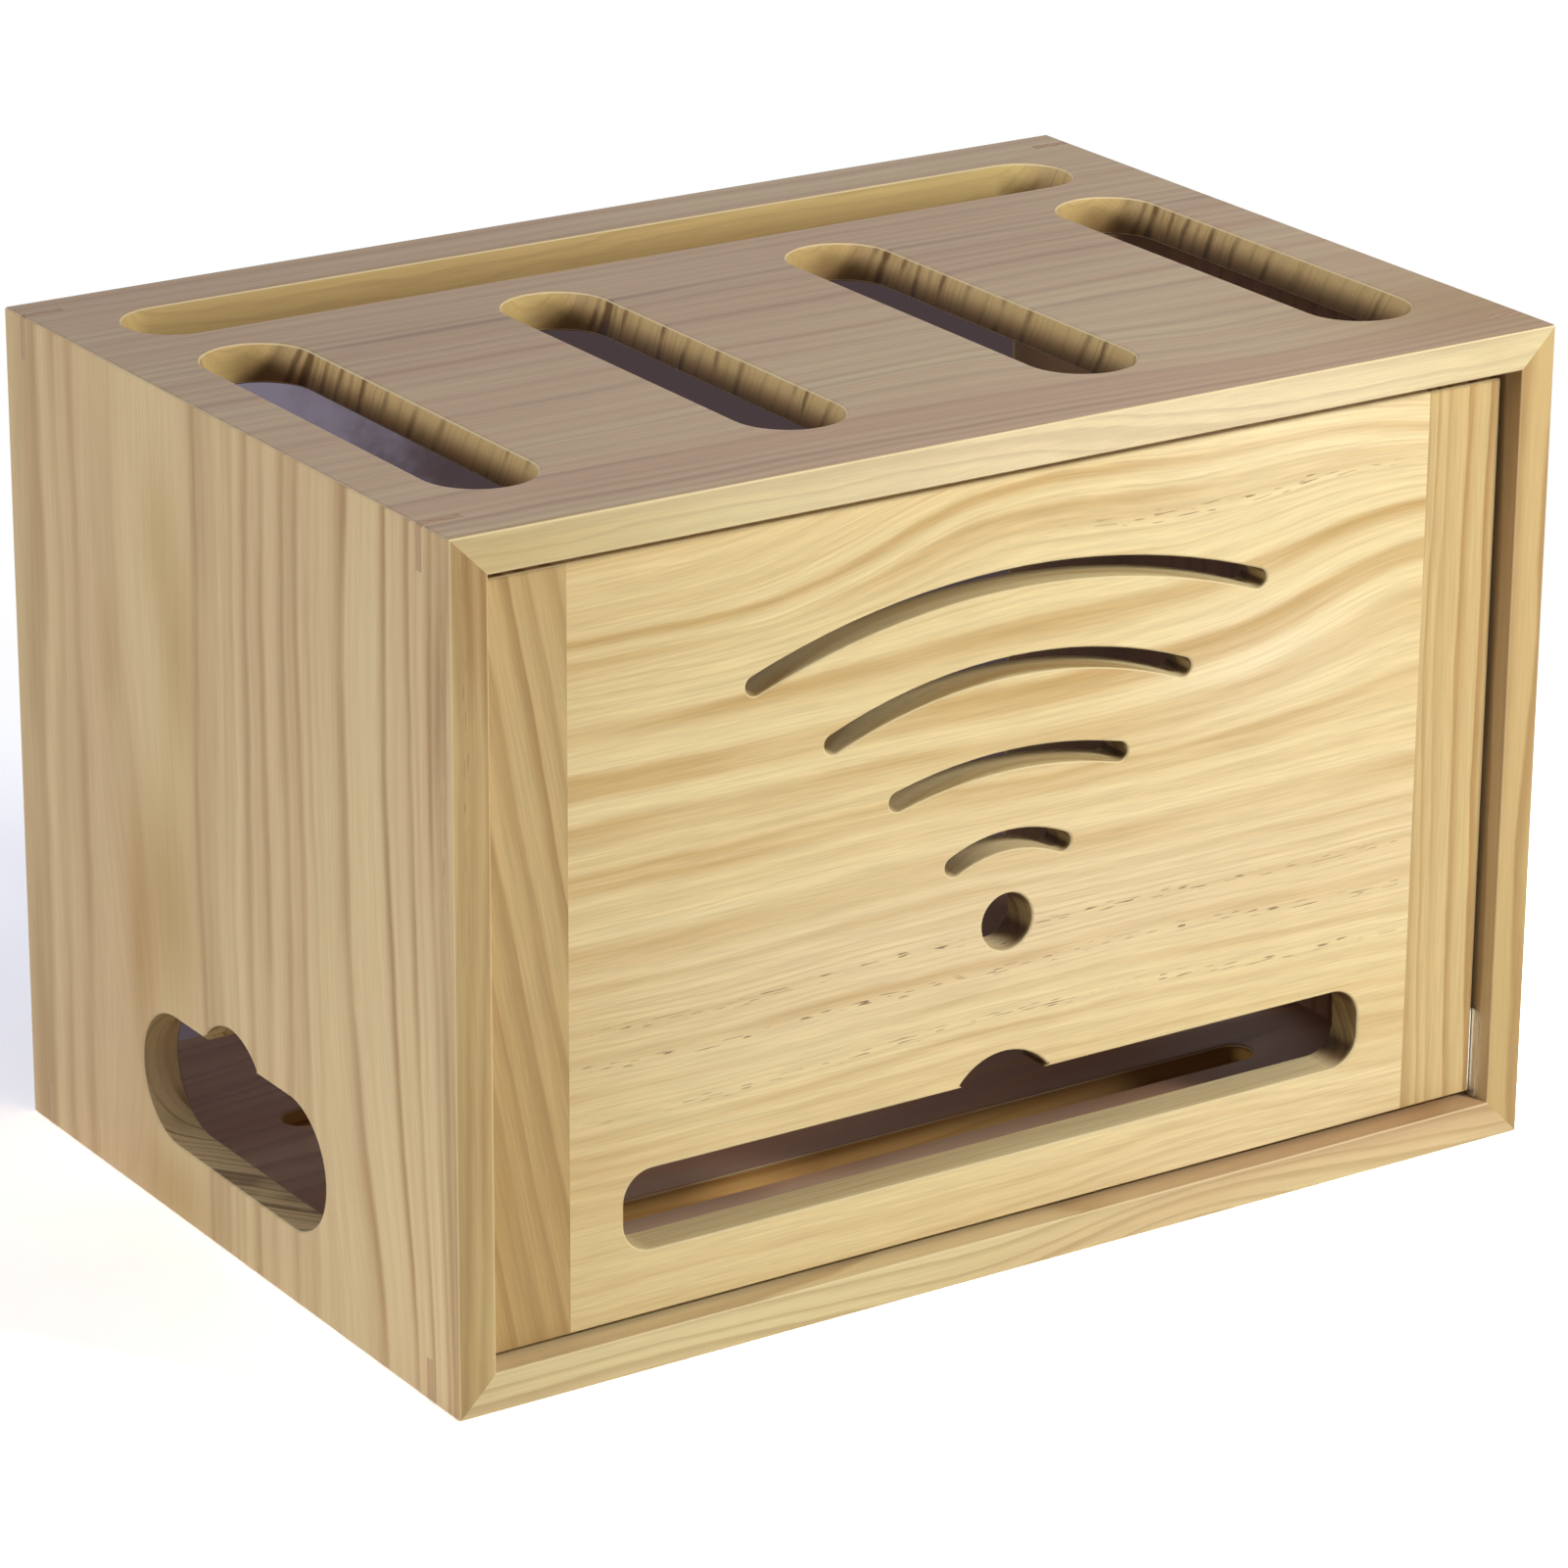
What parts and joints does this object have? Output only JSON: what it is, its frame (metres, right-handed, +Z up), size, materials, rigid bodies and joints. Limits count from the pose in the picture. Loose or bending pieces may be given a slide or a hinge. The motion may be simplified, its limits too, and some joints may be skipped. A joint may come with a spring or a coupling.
{
  "type": "router storage box",
  "caption": "Open-backed wooden box with mitred corners, slotted top, cable holes and a drop-down front door cut with curved signal slots.",
  "frame": {"origin": "on the standing surface below the middle of the case", "axes": "+X to the right along the width, +Y from the door to the open back, +Z up"},
  "size_m": [0.38, 0.26, 0.26],
  "materials": {
    "top_pine": "bare planed pine, slightly darker and pinker than the rest",
    "case_pine": "bare planed pine with straight grain",
    "door_pine": "bare planed pine, pale with cathedral grain",
    "key_wood": "thin wooden keys glued in and planed flush",
    "hinge_steel": "bright nickel-plated steel strip",
    "screw_steel": "zinc-plated countersunk wood screws",
    "catch_plastic": "moulded plastic, satin",
    "magnet_ferrite": "sintered ferrite, matte"
  },
  "bodies": {
    "case": {"top_board": "top_pine", "bottom_board": "case_pine", "left_side": "case_pine", "right_side": "case_pine", "mitre_keys": "key_wood", "case_leaf_left": "hinge_steel", "case_leaf_right": "hinge_steel", "hinge_pin_left": "hinge_steel", "hinge_pin_right": "hinge_steel", "case_leaf_screws": "screw_steel", "catch_housing": "catch_plastic", "catch_magnet": "magnet_ferrite", "catch_pole_plates": "hinge_steel", "catch_screws": "screw_steel"},
    "door": {"door_panel": "door_pine", "door_stile_left": "door_pine", "door_stile_right": "door_pine", "door_leaf_left": "hinge_steel", "door_leaf_right": "hinge_steel", "door_leaf_screws": "screw_steel", "strike_plate": "hinge_steel", "strike_screws": "screw_steel"}
  },
  "joints": [
    {"name": "door_flap", "type": "hinge", "parent": "case", "child": "door", "pos_m": [0, -0.1178, 0.024], "axis": [1, 0, 0], "range_deg": [0, 90]}
  ]
}
